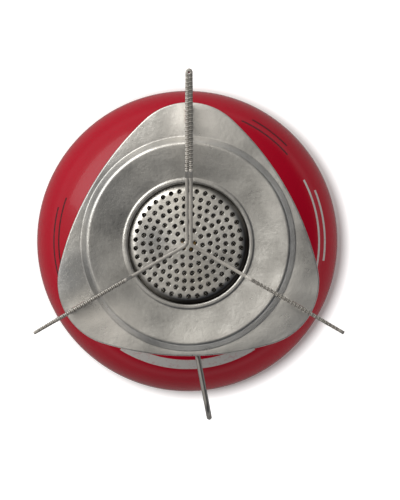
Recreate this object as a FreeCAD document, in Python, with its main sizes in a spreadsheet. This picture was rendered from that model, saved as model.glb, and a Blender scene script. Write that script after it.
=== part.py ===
# A camping stove screwed on its gas canister.
# The origin is the centre of the canister's base, on the ground. +Z is up, and the flame
# handle points towards -Y. Lengths are in millimetres, angles in degrees.
import FreeCAD, Part
import math
import os
import Sketcher


# ---- driving dimensions ----------------------------------------------------------------

sizes = {
    # canister
    "can_radius": 54.5,
    "can_wall": 0.5,
    "side_top": 56.0,
    "shoulder_radius": 22.0,
    "shoulder_turn": 60.0,
    "neck_radius": 13.4,
    "neck_fillet": 2.0,
    "neck_rise": 2.4,
    "curl_radius": 1.2,
    "rim_inset": 1.4,
    "rim_rise": 3.4,
    "rim_bend": 0.3,
    "neckin_turn": 40.0,
    "base_sheet": 0.4,
    "base_wall": 3.2,
    "base_dish": 6.0,
    "base_fillet": 1.5,
    # canister valve
    "cup_sheet": 0.4,
    "cup_gasket": 0.3,
    "cup_depth": 2.3,
    "cup_fillet": 1.0,
    "post_radius": 5.0,
    "post_height": 7.3,
    "post_fillet": 0.6,
    "post_hole": 1.9,
    "thread_pitch": 0.907,
    "thread_depth": 0.5,
    "thread_start": 1.4,
    "thread_turns": 6,
    "valve_seal_depth": 1.0,
    "valve_seal_hole": 1.8,
    "stem_travel": 1.6,
    "stem_flange": 3.0,
    "stem_flange_depth": 1.0,
    "stem_rod": 1.6,
    "stem_rod_length": 5.6,
    "housing_wall": 1.2,
    "housing_depth": 7.4,
    "housing_hole": 1.7,
    "spring_wire": 0.25,
    "spring_radius": 2.3,
    "spring_turns": 4.0,
    # connection between stove and canister
    "thread_clearance": 0.1,
    "insert_radius": 9.5,
    "insert_overlap": 5.8,
    "insert_depth": 9.8,
    "seal_radius": 3.9,
    "seal_thickness": 1.8,
    "seal_gap": 0.15,
    "pin_radius": 1.5,
    "pin_bore": 0.6,
    "pin_flange": 2.6,
    "pin_flange_depth": 2.5,
    "pin_start": 1.3,
    "contact_gap": 0.05,
    "filter_depth": 2.5,
    # valve body
    "grip_radius": 13.5,
    "grip_height": 7.0,
    "grip_gap": 1.0,
    "grip_flutes": 20,
    "flute_radius": 1.3,
    "block_radius": 8.5,
    "block_height": 12.0,
    "block_bevel": 0.6,
    "neck_tube": 6.5,
    "neck_tube_height": 4.0,
    "boss_radius": 5.5,
    "boss_reach": 9.2,
    "gas_hole": 0.5,
    "inlet_offset": 1.9,
    # needle spindle, along -Y
    "spindle_drop": 6.0,
    "seat_radius": 0.5,
    "seat_end": 1.2,
    "spindle_radius": 1.65,
    "spindle_clearance": 0.1,
    "needle_tip": 0.2,
    "needle_start": 0.8,
    "needle_length": 1.8,
    "needle_base": 1.2,
    "chamber_start": 6.0,
    "chamber_radius": 3.0,
    "oring_gap": 0.08,
    "spindle_travel": 1.05,
    "nut_flats": 9.0,
    "nut_height": 4.0,
    "head_radius": 2.6,
    "head_start": 18.0,
    "head_length": 5.5,
    "head_bevel": 0.4,
    "pivot_reach": 21.0,
    # wire handle
    "wire_radius": 0.87,
    "wire_clearance": 0.06,
    "wire_gap": 0.3,
    "wire_bend": 1.3,
    "loop_length": 39.3,
    "loop_half_width": 6.0,
    "loop_neck": 12.0,
    "loop_turn": 35.0,
    "handle_swing": 10.7,
    # jet and mixer
    "jet_thread": 3.0,
    "jet_depth": 3.4,
    "jet_flats": 7.0,
    "jet_hex_height": 2.6,
    "jet_nose_radius": 2.4,
    "jet_tip_radius": 1.0,
    "jet_nose_height": 2.9,
    "jet_orifice": 0.2,
    "mixer_radius": 9.0,
    "mixer_height": 12.0,
    "window_start": 4.6,
    "window_height": 4.8,
    "window_width": 7.0,
    "flange_radius": 12.4,
    "flange_depth": 1.5,
    "screw_circle": 10.7,
    "screw_shaft": 0.8,
    "screw_head": 1.5,
    "screw_head_height": 0.9,
    "screw_reach": 1.4,
    # burner
    "burner_sheet": 0.6,
    "shell_floor": 13.2,
    "shell_bend": 4.0,
    "shell_slope": 20.0,
    "shell_rise": 6.3,
    "plate_flat": 36.2,
    "plate_side_radius": 94.3,
    "plate_lobe_radius": 20.6,
    "edge_depth": 1.9,
    "edge_roll": 1.0,
    "edge_gap": 0.05,
    "collar_radius": 19.7,
    "collar_depth": 2.7,
    "bead_radius": 0.75,
    "bead_fillet": 1.2,
    "bead_slope": 26.0,
    "dish_slope": 7.0,
    "crest_radius": 1.2,
    "step_outer": 34.7,
    "step_slope": 52.0,
    "step_fillet": 0.8,
    "step_height": 2.5,
    "slot_start": 38.1,
    "slot_end": 43.0,
    "tab_start": 38.5,
    "tab_end": 42.6,
    "slot_margin": 0.35,
    "disc_sheet": 0.4,
    "disc_gap": 0.05,
    "disc_slope": 2.6,
    "disc_roll": 3.5,
    "disc_shoulder": 32.0,
    "disc_fall": 1.0,
    "disc_corner": 0.35,
    "disc_below_bead": 0.1,
    "disc_skirt": 1.9,
    "hole_radius": 0.78,
    "first_ring": 2.1,
    "ring_pitch": 2.48,
    "diffuser_drop": 1.5,
    "diffuser_sheet": 0.4,
    "diffuser_hole": 0.6,
    # pot support
    "strip_thickness": 1.05,
    "layer_gap": 0.2,
    "strip_bend": 1.5,
    "strip_play_x": 0.08,
    "strip_play_y": 0.25,
    "arm_reach": 55.4,
    "fold_reach": 54.15,
    "fold_eye": 0.33,
    "tip_plain": 1.9,
    "support_height": 21.0,
    "bar_drop": 2.0,
    "bar_height": 4.0,
    "slope_start": 20.4,
    "slope_end": 22.2,
    "arch_start": 24.0,
    "leg_inner": 36.5,
    "leg_outer": 44.3,
    "leg_height": 6.0,
    "arm_tip_height": 4.0,
    "arm_cut_width": 3.2,
    "tab_drop": 2.2,
    "tooth_pitch": 1.23,
    "tooth_notch": 0.85,
    "notch_floor": 0.35,
    "tooth_depth": 0.55,
    "tooth_stagger": 0.31,
}

# Holes in each ring of the burner disc, from the centre out, and the ring's turn in degrees.
disc_rings = ((5, 7.0), (10, -6.0), (17, 1.0), (24, 7.4), (30, 0.0), (34, 0.0), (38, 5.0))
diffuser_rings = ((6, 0.0), (12, 10.0), (18, 4.0), (24, 0.0), (30, 3.0))


class Size:
    # A number together with the sheet expression that gives it.
    def __init__(self, value, text):
        self.value = value
        self.text = text

    def __add__(self, other):
        other = as_size(other)
        return Size(self.value + other.value, f"({self.text} + {other.text})")

    def __sub__(self, other):
        other = as_size(other)
        return Size(self.value - other.value, f"({self.text} - {other.text})")

    def __mul__(self, other):
        other = as_size(other)
        return Size(self.value * other.value, f"({self.text} * {other.text})")

    def __truediv__(self, other):
        other = as_size(other)
        return Size(self.value / other.value, f"({self.text} / {other.text})")

    def __neg__(self):
        return Size(-self.value, f"(0 - {self.text})")

    def __radd__(self, other):
        return as_size(other) + self

    def __rsub__(self, other):
        return as_size(other) - self

    def __rmul__(self, other):
        return as_size(other) * self

    def __rtruediv__(self, other):
        return as_size(other) / self


def as_size(number):
    if isinstance(number, Size):
        return number
    return Size(float(number), f"({number:.9g})")


def cos(angle):
    angle = as_size(angle)
    return Size(math.cos(math.radians(angle.value)), f"cos({angle.text})")


def sin(angle):
    angle = as_size(angle)
    return Size(math.sin(math.radians(angle.value)), f"sin({angle.text})")


def tan(angle):
    return sin(angle) / cos(angle)


def root(size):
    return Size(math.sqrt(size.value), f"sqrt({size.text})")


def get(alias):
    return Size(float(sizes[alias]), f"Sizes.{alias}")


doc = FreeCAD.newDocument("CampingStove")
sheet = doc.addObject("Spreadsheet::Sheet", "Sizes")
for row, (alias, number) in enumerate(sizes.items(), start=1):
    sheet.set(f"A{row}", alias)
    sheet.set(f"B{row}", str(number))
    sheet.setAlias(f"B{row}", alias)
doc.recompute()

nodes = []


# ---- helpers ---------------------------------------------------------------------------

def bind(target, name, size):
    # Gives a property or constraint its size and ties it to the sheet.
    size = as_size(size)
    if "Sizes." in size.text:
        target.setExpression(name, size.text)


def start_body(name):
    body = doc.addObject("PartDesign::Body", name)
    body.Label = name
    nodes.append(body)
    return body


def start_sketch(body, name, plane, rise=0.0, sideways=0.0, turn=0.0):
    # rise moves the sketch along its normal, sideways along its own second axis, and turn swings
    # it about that axis.
    sketch = body.newObject("Sketcher::SketchObject", name)
    support = next(item for item in body.Origin.OriginFeatures if item.Role == plane)
    sketch.AttachmentSupport = [(support, "")]
    sketch.MapMode = "FlatFace"
    rise = as_size(rise)
    sideways = as_size(sideways)
    swing = FreeCAD.Rotation(FreeCAD.Vector(0, 1, 0), turn)
    sketch.AttachmentOffset = FreeCAD.Placement(FreeCAD.Vector(0, sideways.value, rise.value), swing)
    bind(sketch, ".AttachmentOffset.Base.z", rise)
    bind(sketch, ".AttachmentOffset.Base.y", sideways)
    return sketch


def arc_between(first, last, radius):
    # The short arc from first to last: it turns left for a positive radius, right for a negative one.
    chord = last - first
    left = FreeCAD.Vector(-chord.y, chord.x, 0).normalize()
    depth = math.sqrt(max(radius * radius - chord.Length ** 2 / 4, 0.0))
    side = 1 if radius > 0 else -1
    centre = (first + last) * 0.5 + left * depth * side
    middle = centre - left * abs(radius) * side
    return Part.Arc(first, middle, last)


def draw(sketch, corners, closed=True):
    # Each corner is (x, y) or (x, y, radius), where the radius bends the edge that leaves it.
    spots = [(as_size(corner[0]), as_size(corner[1])) for corner in corners]
    bends = [as_size(corner[2]) if len(corner) > 2 else None for corner in corners]
    points = [FreeCAD.Vector(x.value, y.value, 0) for x, y in spots]
    count = len(corners) if closed else len(corners) - 1
    edges = []
    rules = []
    for index in range(count):
        following = (index + 1) % len(corners)
        bend = bends[index]
        if bend is None:
            edge = sketch.addGeometry(Part.LineSegment(points[index], points[following]))
            edges.append((edge, 1, 2))
            continue
        edge = sketch.addGeometry(arc_between(points[index], points[following], bend.value))
        edges.append((edge, 1, 2) if bend.value > 0 else (edge, 2, 1))
        size = bend if bend.value > 0 else -bend
        rules.append((Sketcher.Constraint("Radius", edge, size.value), size))
    for index in range(len(corners)):
        if index < count:
            edge, vertex = edges[index][0], edges[index][1]
        else:
            edge, vertex = edges[-1][0], edges[-1][2]
        x, y = spots[index]
        rules.append((Sketcher.Constraint("DistanceX", -1, 1, edge, vertex, x.value), x))
        rules.append((Sketcher.Constraint("DistanceY", -1, 1, edge, vertex, y.value), y))
    for index in range(len(corners) if closed else count):
        if index == 0 and not closed:
            continue
        before, after = edges[index - 1], edges[index % count]
        rules.append((Sketcher.Constraint("Coincident", before[0], before[2], after[0], after[1]), None))
    first = sketch.ConstraintCount
    sketch.addConstraint([rule for rule, size in rules])
    for offset, (rule, size) in enumerate(rules):
        if size is not None:
            bind(sketch, f"Constraints[{first + offset}]", size)


def draw_circle(sketch, x, y, radius):
    x, y, radius = as_size(x), as_size(y), as_size(radius)
    centre = FreeCAD.Vector(x.value, y.value, 0)
    edge = sketch.addGeometry(Part.Circle(centre, FreeCAD.Vector(0, 0, 1), radius.value))
    for kind, size in (("DistanceX", x), ("DistanceY", y)):
        index = sketch.addConstraint(Sketcher.Constraint(kind, -1, 1, edge, 3, size.value))
        bind(sketch, f"Constraints[{index}]", size)
    index = sketch.addConstraint(Sketcher.Constraint("Radius", edge, radius.value))
    bind(sketch, f"Constraints[{index}]", radius)


class Line:
    # The middle line of a bent sheet or wire. It is followed from one end to the other, and
    # every bend is tangent. Headings are in degrees from the first axis.
    def __init__(self, x, y, heading):
        self.spots = [(as_size(x), as_size(y), as_size(heading))]
        self.bends = []

    @property
    def x(self):
        return self.spots[-1][0]

    @property
    def y(self):
        return self.spots[-1][1]

    @property
    def heading(self):
        return self.spots[-1][2]

    def along(self, length):
        x = self.x + length * cos(self.heading)
        y = self.y + length * sin(self.heading)
        self.spots.append((x, y, self.heading))
        self.bends.append(None)
        return self

    def reach(self, x, y):
        # Straight on to a known place, which lies ahead.
        self.spots.append((as_size(x), as_size(y), self.heading))
        self.bends.append(None)
        return self

    def to_x(self, x):
        self.spots.append((as_size(x), self.y + (x - self.x) * tan(self.heading), self.heading))
        self.bends.append(None)
        return self

    def bend(self, radius, turn):
        # A positive turn goes left. Long bends are cut up, so that each is well under half a circle.
        turn = as_size(turn)
        pieces = math.ceil(abs(turn.value) / 100)
        side = 1 if turn.value > 0 else -1
        for piece in range(pieces):
            heading = self.heading + turn / pieces
            x = self.x + radius * (sin(heading) - sin(self.heading)) * side
            y = self.y - radius * (cos(heading) - cos(self.heading)) * side
            self.spots.append((x, y, heading))
            self.bends.append(radius * side)
        return self

    def side(self, distance):
        # The line moved to its left by a distance.
        corners = []
        for index, (x, y, heading) in enumerate(self.spots):
            corner = [x - distance * sin(heading), y + distance * cos(heading)]
            if index < len(self.bends) and self.bends[index] is not None:
                corner.append(self.bends[index] - distance)
            corners.append(corner)
        return corners

    def outline(self, thickness):
        # The closed outline of a sheet of this thickness about the line.
        right = self.side(-thickness / 2)
        left = self.side(thickness / 2)
        closed = [tuple(corner) for corner in right[:-1]]
        closed.append(tuple(right[-1][:2]))
        for index in range(len(left) - 1, 0, -1):
            corner = left[index][:2]
            if len(left[index - 1]) > 2:
                corner = corner + [-left[index - 1][2]]
            closed.append(tuple(corner))
        closed.append(tuple(left[0][:2]))
        return closed


def revolve(body, name, corners, kind="Revolution", spindle=False):
    # About Z, or about the spindle's axis, where the first coordinate runs towards -Y.
    if spindle:
        sketch = start_sketch(body, name + "_sketch", "YZ_Plane", sideways=spindle_level)
        draw(sketch, [(-as_size(corner[0]),) + tuple(corner[1:]) for corner in corners])
    else:
        sketch = start_sketch(body, name + "_sketch", "XZ_Plane")
        draw(sketch, corners)
    feature = body.newObject("PartDesign::" + kind, name)
    feature.Profile = sketch
    feature.ReferenceAxis = (sketch, ["H_Axis" if spindle else "V_Axis"])
    feature.Angle = 360
    return feature


def pad(body, name, sketch, length, midplane=False, reverse=False):
    feature = body.newObject("PartDesign::Pad", name)
    feature.Profile = sketch
    length = as_size(length)
    feature.Length = length.value
    bind(feature, "Length", length)
    feature.Midplane = midplane
    feature.Reversed = reverse
    return feature


def cut_through(body, name, sketch):
    feature = body.newObject("PartDesign::Pocket", name)
    feature.Profile = sketch
    feature.Type = 1
    feature.Midplane = True
    return feature


def cut_wide(body, name, sketch, width):
    # A cut as wide as given, half on each side of the sketch.
    feature = body.newObject("PartDesign::Pocket", name)
    feature.Profile = sketch
    feature.Midplane = True
    feature.Length = width.value
    bind(feature, "Length", width)
    return feature


def cut_beside(body, name, sketch, width, right):
    # A cut on one side of the sketch only.
    feature = body.newObject("PartDesign::Pocket", name)
    feature.Profile = sketch
    feature.Reversed = right
    feature.Length = width.value
    bind(feature, "Length", width)
    return feature


def around(body, name, feature, sketch, count, axis="N_Axis", angle=360):
    pattern = body.newObject("PartDesign::PolarPattern", name)
    pattern.Originals = [feature]
    pattern.Axis = (sketch, [axis])
    pattern.Angle = angle
    pattern.Occurrences = count
    body.Tip = pattern
    return pattern


def turned(name, corners, spindle=False):
    body = start_body(name)
    revolve(body, name + "_turned", corners, spindle=spindle)
    return body


def box_corners(left, low, right, high):
    return [(left, low), (right, low), (right, high), (left, high)]


def ring_corners(radius, level, thickness):
    # The round section of a torus, as two half circles.
    half = thickness / 2
    return [(radius, level - half, half), (radius + half, level, half), (radius, level + half, half),
            (radius - half, level, half)]


def hexagon(flats):
    reach = flats / cos(30) / 2
    return [(reach * cos(60 * corner), reach * sin(60 * corner)) for corner in range(6)]


# ---- heights and radii that several pieces share -----------------------------------------

can_mid = get("can_radius") - get("can_wall") / 2
neck_mid = get("neck_radius") + get("can_wall") / 2
rim_mid = get("can_radius") - get("rim_inset") - get("base_sheet") - get("contact_gap") - get("can_wall") / 2

dome = Line(can_mid, get("side_top"), 90)
dome.bend(get("shoulder_radius"), get("shoulder_turn"))
dome_radius = (dome.x - neck_mid - get("neck_fillet")) / cos(get("shoulder_turn"))
dome.bend(dome_radius, 90 - get("shoulder_turn"))
neck_foot = dome.y
curl_level = neck_foot + get("neck_fillet") + get("neck_rise")
curl_centre = neck_mid + get("curl_radius")

cup_mid = get("curl_radius") + get("can_wall") / 2 + get("cup_gasket") + get("cup_sheet") / 2
cup_top = curl_level + cup_mid + get("cup_sheet") / 2
cup_floor = curl_level - get("cup_depth") - get("cup_fillet")
post_mid = get("post_radius") - get("cup_sheet") / 2
post_top = cup_floor + get("post_height") + get("cup_sheet") / 2
crown_below = post_top - get("cup_sheet")

valve_seal_below = crown_below - get("valve_seal_depth")
stem_top = valve_seal_below - get("contact_gap") - get("stem_travel")
stem_flange_below = stem_top - get("stem_flange_depth")
housing_below = valve_seal_below - get("housing_depth")
housing_floor = housing_below + get("housing_wall")
post_inside = get("post_radius") - get("cup_sheet")

thread_radius = get("post_radius") + get("thread_depth")
insert_bore = thread_radius + get("thread_clearance")
insert_below = post_top - get("insert_overlap")
insert_top = insert_below + get("insert_depth")
seal_level = post_top + get("seal_gap") + get("seal_thickness") / 2
nose_below = seal_level + get("seal_thickness") / 2 + get("seal_gap")
pin_below = stem_top + get("contact_gap")
pin_flange_below = nose_below + get("pin_start")
pin_flange_top = pin_flange_below + get("pin_flange_depth")
filter_top = pin_flange_top + get("filter_depth")

grip_below = cup_top + get("grip_gap")
grip_top = grip_below + get("grip_height")
block_top = grip_top + get("block_height")
neck_top = block_top + get("neck_tube_height")
spindle_level = block_top - get("spindle_drop")
needle_bore = get("spindle_radius") + get("spindle_clearance")
oring_thickness = get("chamber_radius") - get("spindle_radius") - get("oring_gap") * 2
chamber_end = get("chamber_start") + oring_thickness + get("spindle_travel") + get("oring_gap") * 2

mixer_top = block_top + get("mixer_height")
shell_mid = mixer_top + get("burner_sheet") / 2
shell_flange_mid = shell_mid + get("shell_rise")
plate_mid = shell_flange_mid + get("burner_sheet")
plate_top = plate_mid + get("burner_sheet") / 2
support_top = plate_top + get("support_height")
bar_top = support_top - get("bar_drop")
bar_below = bar_top - get("bar_height")


# ---- canister ----------------------------------------------------------------------------

def canister_shell():
    turn = get("neckin_turn")
    neckin_radius = (can_mid - rim_mid) / (1 - cos(turn)) / 2
    wall = Line(rim_mid, get("base_sheet") + get("contact_gap"), 90)
    wall.reach(rim_mid, get("rim_rise"))
    wall.bend(neckin_radius, -turn)
    wall.bend(neckin_radius, turn)
    wall.reach(can_mid, get("side_top"))
    wall.bend(get("shoulder_radius"), get("shoulder_turn"))
    wall.bend(dome_radius, 90 - get("shoulder_turn"))
    wall.bend(get("neck_fillet"), -90)
    wall.along(get("neck_rise"))
    wall.bend(get("curl_radius"), -200)
    turned("canister_shell", wall.outline(get("can_wall")))


def canister_base():
    # A countersunk panel, hemmed round the bottom edge of the shell.
    hem = get("can_wall") / 2 + get("contact_gap") + get("base_sheet") / 2
    inner = rim_mid - hem
    slope = get("base_dish")
    panel_edge = inner - get("base_fillet") * (1 - sin(slope))
    panel_radius = panel_edge / sin(slope)
    centre = get("base_wall") + get("base_fillet") * cos(slope) + panel_radius * (1 - cos(slope))
    panel = Line(0, centre, 0)
    panel.bend(panel_radius, -slope)
    panel.bend(get("base_fillet"), slope - 90)
    panel.reach(inner, get("base_sheet") / 2 + get("rim_bend"))
    panel.bend(get("rim_bend"), 90)
    panel.reach(rim_mid + hem - get("rim_bend"), get("base_sheet") / 2)
    panel.bend(get("rim_bend"), 90)
    panel.reach(rim_mid + hem, get("rim_rise") - get("rim_bend"))
    turned("canister_base", panel.outline(get("base_sheet")))


def valve_cup():
    # The cup is crimped over the shell's curl. Its centre post carries the thread, as plain rings.
    cup = Line(curl_centre + cup_mid * cos(30), curl_level - cup_mid * sin(30), 60)
    cup.bend(cup_mid, 210)
    cup.along(get("cup_depth"))
    cup.bend(get("cup_fillet"), -90)
    cup.reach(post_mid + get("post_fillet"), cup_floor)
    cup.bend(get("post_fillet"), -90)
    cup.reach(post_mid, post_top - get("cup_sheet") / 2 - get("post_fillet"))
    cup.bend(get("post_fillet"), 90)
    cup.reach(get("post_hole"), post_top - get("cup_sheet") / 2)
    body = turned("valve_cup", cup.outline(get("cup_sheet")))
    level = cup_floor + get("thread_start")
    inside = get("post_radius") - get("cup_sheet") / 4
    half = get("thread_pitch") / 2
    section = [(inside, level - half), (thread_radius, level), (inside, level + half)]
    ridge = revolve(body, "thread_ring", section)
    pattern = body.newObject("PartDesign::LinearPattern", "thread_rings")
    pattern.Originals = [ridge]
    pattern.Direction = (ridge.Profile[0], ["V_Axis"])
    spread = get("thread_pitch") * (get("thread_turns") - 1)
    pattern.Length = spread.value
    bind(pattern, "Length", spread)
    pattern.Occurrences = int(get("thread_turns").value)
    bind(pattern, "Occurrences", get("thread_turns"))
    body.Tip = pattern


def cup_gasket():
    middle = get("curl_radius") + get("can_wall") / 2 + get("cup_gasket") / 2
    gasket = Line(curl_centre + middle, curl_level, 90)
    gasket.bend(middle, 170)
    turned("cup_gasket", gasket.outline(get("cup_gasket")))


def valve_housing():
    inner = post_inside - get("housing_wall")
    turned("valve_housing", [
        (get("housing_hole"), housing_below), (post_inside, housing_below), (post_inside, valve_seal_below),
        (inner, valve_seal_below), (inner, housing_floor), (get("housing_hole"), housing_floor)])


def valve_seal():
    edge = post_inside - get("post_fillet") + get("cup_sheet") / 2
    turned("valve_seal", box_corners(get("valve_seal_hole"), valve_seal_below, edge, crown_below))


def valve_stem():
    rod_below = stem_flange_below - get("stem_rod_length")
    turned("valve_stem", [
        (0, rod_below), (get("stem_rod"), rod_below), (get("stem_rod"), stem_flange_below),
        (get("stem_flange"), stem_flange_below), (get("stem_flange"), stem_top), (0, stem_top)])


def valve_spring():
    body = start_body("valve_spring")
    wire = get("spring_wire")
    sketch = start_sketch(body, "spring_wire_section", "XZ_Plane")
    draw_circle(sketch, get("spring_radius"), housing_floor + wire + get("contact_gap"), wire)
    spring = body.newObject("PartDesign::AdditiveHelix", "spring_coil")
    spring.Profile = sketch
    spring.ReferenceAxis = (sketch, ["V_Axis"])
    spring.Mode = 2
    rise = stem_flange_below - housing_floor - wire * 2 - get("contact_gap") * 2
    spring.Height = rise.value
    bind(spring, "Height", rise)
    spring.Turns = get("spring_turns").value
    bind(spring, "Turns", get("spring_turns"))


# ---- connection and valve body -----------------------------------------------------------

def thread_insert():
    turned("thread_insert", box_corners(insert_bore, insert_below, get("insert_radius"), insert_top))


def canister_seal():
    turned("canister_seal", ring_corners(get("seal_radius"), seal_level, get("seal_thickness")))


def probe_pin():
    turned("probe_pin", [
        (get("pin_bore"), pin_below), (get("pin_radius"), pin_below), (get("pin_radius"), pin_flange_below),
        (get("pin_flange"), pin_flange_below), (get("pin_flange"), pin_flange_top),
        (get("pin_bore"), pin_flange_top)])


def gas_filter():
    turned("gas_filter", box_corners(0, pin_flange_top, get("pin_flange"), filter_top))


def valve_body():
    bevel = get("block_bevel")
    jet_seat = neck_top - get("jet_depth")
    body = turned("valve_body", [
        (get("pin_flange"), nose_below), (insert_bore, nose_below), (insert_bore, insert_top),
        (get("insert_radius"), insert_top), (get("insert_radius"), grip_below),
        (get("grip_radius") - bevel, grip_below), (get("grip_radius"), grip_below + bevel),
        (get("grip_radius"), grip_top - bevel), (get("grip_radius") - bevel, grip_top),
        (get("block_radius"), grip_top), (get("block_radius"), block_top - bevel),
        (get("block_radius") - bevel, block_top), (get("neck_tube"), block_top), (get("neck_tube"), neck_top),
        (get("jet_thread"), neck_top), (get("jet_thread"), jet_seat), (0, jet_seat), (0, filter_top),
        (get("pin_flange"), filter_top)])
    boss = box_corners(get("chamber_start"), 0, get("boss_reach"), get("boss_radius"))
    revolve(body, "spindle_boss", boss, spindle=True)
    flute_sketch = start_sketch(body, "flute_sketch", "XY_Plane")
    flute_place = get("grip_radius") + get("flute_radius") / 2
    draw_circle(flute_sketch, flute_place, 0, get("flute_radius"))
    flute = cut_through(body, "flute", flute_sketch)
    around(body, "flutes", flute, flute_sketch, int(get("grip_flutes").value))
    revolve(body, "spindle_bore", [
        (0, 0), (get("boss_reach") + 1, 0), (get("boss_reach") + 1, get("chamber_radius")),
        (get("chamber_start"), get("chamber_radius")), (get("chamber_start"), needle_bore),
        (get("seat_end"), needle_bore), (get("seat_end"), get("seat_radius")), (0, get("seat_radius"))],
        kind="Groove", spindle=True)
    revolve(body, "gas_outlet", box_corners(0, spindle_level, get("gas_hole"), jet_seat), kind="Groove")
    inlet_sketch = start_sketch(body, "gas_inlet_sketch", "XY_Plane", rise=filter_top)
    draw_circle(inlet_sketch, 0, -get("inlet_offset"), get("gas_hole"))
    inlet = body.newObject("PartDesign::Pocket", "gas_inlet")
    inlet.Profile = inlet_sketch
    inlet.Reversed = True
    inlet_length = spindle_level - filter_top
    inlet.Length = inlet_length.value
    bind(inlet, "Length", inlet_length)


# ---- spindle and handle --------------------------------------------------------------------

def needle_spindle():
    needle_end = get("needle_start") + get("needle_length")
    head_end = get("head_start") + get("head_length")
    bevel = get("head_bevel")
    body = turned("needle_spindle", [
        (get("needle_start"), 0), (head_end, 0), (head_end, get("head_radius") - bevel),
        (head_end - bevel, get("head_radius")), (get("head_start"), get("head_radius")),
        (get("head_start"), get("spindle_radius")), (needle_end, get("spindle_radius")),
        (needle_end, get("needle_base")), (get("needle_start"), get("needle_tip"))], spindle=True)
    sketch = start_sketch(body, "cross_hole_sketch", "XY_Plane")
    draw_circle(sketch, 0, -get("pivot_reach"), get("wire_radius") + get("wire_clearance"))
    cut_through(body, "cross_hole", sketch)


def spindle_seal():
    centre = get("chamber_start") + get("oring_gap") + oring_thickness / 2
    major = get("spindle_radius") + get("oring_gap") + oring_thickness / 2
    half = oring_thickness / 2
    turned("spindle_seal", [
        (centre, major - half, half), (centre + half, major, half), (centre, major + half, half),
        (centre - half, major, half)], spindle=True)


def gland_nut():
    body = start_body("gland_nut")
    sketch = start_sketch(body, "nut_sketch", "XZ_Plane", rise=get("boss_reach"), sideways=spindle_level)
    draw(sketch, hexagon(get("nut_flats")))
    pad(body, "nut_hexagon", sketch, get("nut_height"))
    nut_end = get("boss_reach") + get("nut_height")
    revolve(body, "nut_spigot", box_corners(chamber_end, 0, nut_end, get("chamber_radius")), spindle=True)
    revolve(body, "nut_bore", box_corners(chamber_end - 1, 0, nut_end + 1, needle_bore),
            kind="Groove", spindle=True)


def handle_wire():
    # One bent wire. Its two ends turn into the spindle head's cross hole from above and below.
    body = start_body("handle_wire")
    leg = get("head_radius") + get("wire_radius") + get("wire_gap")
    turn = get("loop_turn")
    widening = (get("loop_half_width") - leg) / (1 - cos(turn)) / 2
    tip_centre = get("loop_length") - get("wire_radius") - get("loop_half_width")
    route = Line(0, get("wire_gap"), 90)
    route.reach(0, leg - get("wire_bend"))
    route.bend(get("wire_bend"), -90)
    route.reach(get("loop_neck"), leg)
    route.bend(widening, turn)
    route.bend(widening, -turn)
    widened = route.x
    route.reach(tip_centre, get("loop_half_width"))
    route.bend(get("loop_half_width"), -180)
    route.reach(widened, -get("loop_half_width"))
    route.bend(widening, -turn)
    route.bend(widening, turn)
    route.reach(get("wire_bend"), -leg)
    route.bend(get("wire_bend"), -90)
    route.reach(0, -get("wire_gap"))
    spine = start_sketch(body, "wire_route", "XZ_Plane")
    draw(spine, route.side(0), closed=False)
    section = start_sketch(body, "wire_section", "XY_Plane", rise=get("wire_gap"))
    draw_circle(section, 0, 0, get("wire_radius"))
    wire = body.newObject("PartDesign::AdditivePipe", "bent_wire")
    wire.Profile = section
    wire.Spine = (spine, [])
    place = FreeCAD.Vector(0, -get("pivot_reach").value, spindle_level.value)
    swing = get("handle_swing") - 90
    body.Placement = FreeCAD.Placement(place, FreeCAD.Rotation(FreeCAD.Vector(0, 0, 1), swing.value))
    bind(body, ".Placement.Base.y", -get("pivot_reach"))
    bind(body, ".Placement.Base.z", spindle_level)
    bind(body, ".Placement.Rotation.Angle", swing)


# ---- jet, mixer and burner -----------------------------------------------------------------

def jet():
    jet_seat = neck_top - get("jet_depth")
    hexagon_top = neck_top + get("jet_hex_height")
    tip = hexagon_top + get("jet_nose_height")
    body = start_body("jet")
    sketch = start_sketch(body, "jet_hexagon_sketch", "XY_Plane", rise=neck_top)
    draw(sketch, hexagon(get("jet_flats")))
    pad(body, "jet_hexagon", sketch, get("jet_hex_height"))
    revolve(body, "jet_turned", [
        (0, jet_seat), (get("jet_thread"), jet_seat), (get("jet_thread"), hexagon_top),
        (get("jet_nose_radius"), hexagon_top), (get("jet_tip_radius"), tip), (0, tip)])
    revolve(body, "jet_bore", [
        (0, jet_seat - 1), (get("gas_hole"), jet_seat - 1), (get("gas_hole"), hexagon_top),
        (get("jet_orifice"), hexagon_top), (get("jet_orifice"), tip + 1), (0, tip + 1)], kind="Groove")


def screw_places():
    return [(get("screw_circle") * cos(angle), get("screw_circle") * sin(angle)) for angle in (30, 150, 270)]


def mixer_cage():
    flange_below = mixer_top - get("flange_depth")
    body = turned("mixer_cage", [
        (get("neck_tube"), block_top), (get("mixer_radius"), block_top),
        (get("mixer_radius"), flange_below), (get("flange_radius"), flange_below),
        (get("flange_radius"), mixer_top), (get("neck_tube"), mixer_top)])
    half = get("window_width") / 2
    low = block_top + get("window_start")
    for plane in ("XZ_Plane", "YZ_Plane"):
        sketch = start_sketch(body, "window_sketch", plane)
        draw(sketch, box_corners(-half, low, half, low + get("window_height")))
        cut_through(body, "windows", sketch)
    holes = start_sketch(body, "screw_hole_sketch", "XY_Plane")
    for x, y in screw_places():
        draw_circle(holes, x, y, get("screw_shaft"))
    cut_through(body, "screw_holes", holes)


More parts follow.
